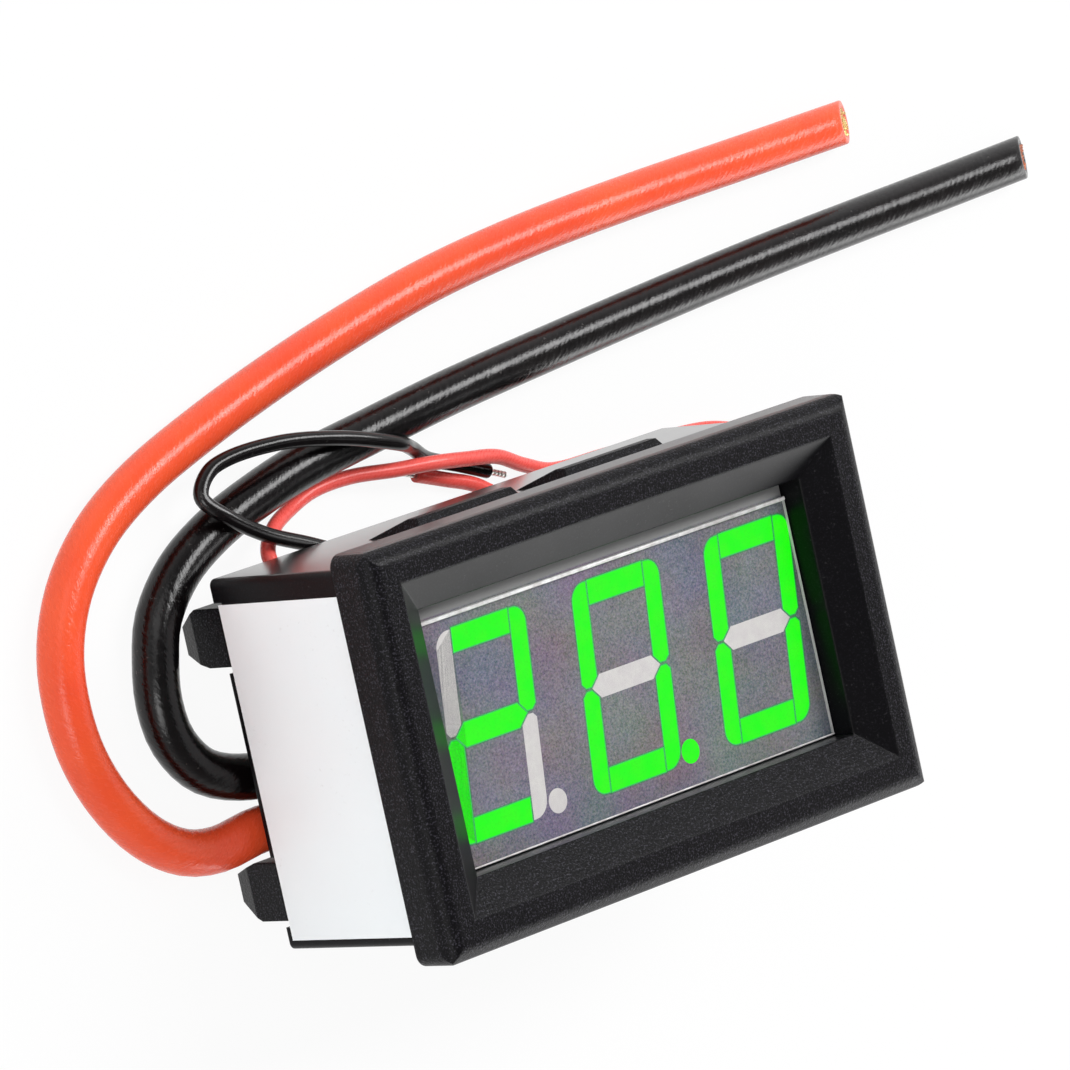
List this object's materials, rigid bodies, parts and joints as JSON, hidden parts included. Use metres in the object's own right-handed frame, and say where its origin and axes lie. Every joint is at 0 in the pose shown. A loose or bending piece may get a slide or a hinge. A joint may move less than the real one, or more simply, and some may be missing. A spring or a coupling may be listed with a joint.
{
  "type": "digital panel meter",
  "caption": "Snap-in digital panel meter: black bezel and case, lit three-digit display, board with calibration trimmer and shunt, two thick current leads and two thin supply leads.",
  "frame": {"origin": "on the surface that the board hooks stand on, under the middle of the bezel", "axes": "+Z out of the display, +X to the reader's right along the digits, +Y up the digits"},
  "size_m": [0.1049, 0.0463, 0.0229],
  "materials": {
    "case_plastic": "fine textured black ABS",
    "label_vinyl": "blank matt white sticker",
    "film_tint": "grey lilac film, finely grained",
    "display_grey": "grey face paint",
    "segment_lit": "lit green resin",
    "segment_unlit": "milky resin",
    "board_green": "green solder mask",
    "tin": "satin tin and solder",
    "shunt_alloy": "drawn resistance wire",
    "chip_black": "moulded black epoxy",
    "resistor_black": "glassy black",
    "capacitor_tan": "tan ceramic",
    "tantalum_yellow": "yellow epoxy",
    "trimmer_blue": "blue moulding",
    "rotor_white": "ivory moulding",
    "lead_red": "soft orange red sheath",
    "lead_black": "soft black sheath",
    "supply_red": "red sheath",
    "copper": "bright copper strands"
  },
  "bodies": {
    "meter": {"case": "case_plastic", "side_label": "label_vinyl", "window_film": "film_tint", "display_housing": "display_grey", "digit_1_lit": "segment_lit", "digit_1_unlit": "segment_unlit", "digit_2_lit": "segment_lit", "digit_2_unlit": "segment_unlit", "digit_3_lit": "segment_lit", "digit_3_unlit": "segment_unlit", "point_lit": "segment_lit", "point_unlit": "segment_unlit", "display_base": "board_green", "display_pins": "tin", "main_board": "board_green", "pin_solder": "tin", "shunt": "shunt_alloy", "shunt_solder": "tin", "lead_solder": "tin", "supply_solder": "tin", "controller_body": "chip_black", "controller_legs": "tin", "regulator_body": "chip_black", "regulator_legs": "tin", "diode_body": "chip_black", "diode_terminals": "tin", "tantalum_body": "tantalum_yellow", "tantalum_terminals": "tin", "resistor_bodies": "resistor_black", "resistor_terminals": "tin", "capacitor_bodies": "capacitor_tan", "capacitor_terminals": "tin", "trimmer_body": "trimmer_blue", "red_lead": "lead_red", "red_core": "copper", "red_strands": "copper", "black_lead": "lead_black", "black_core": "copper", "black_strands": "copper", "supply_red_lead": "supply_red", "supply_red_tip": "tin", "supply_black_lead": "lead_black", "supply_black_tip": "tin"},
    "calibration_rotor": {"trimmer_rotor": "rotor_white"}
  },
  "joints": [
    {"name": "calibration_turn", "type": "hinge", "parent": "meter", "child": "calibration_rotor", "pos_m": [0.0134, 0.0056, 0.0036], "axis": [0, 0, 1], "range_deg": [-125, 125]}
  ]
}
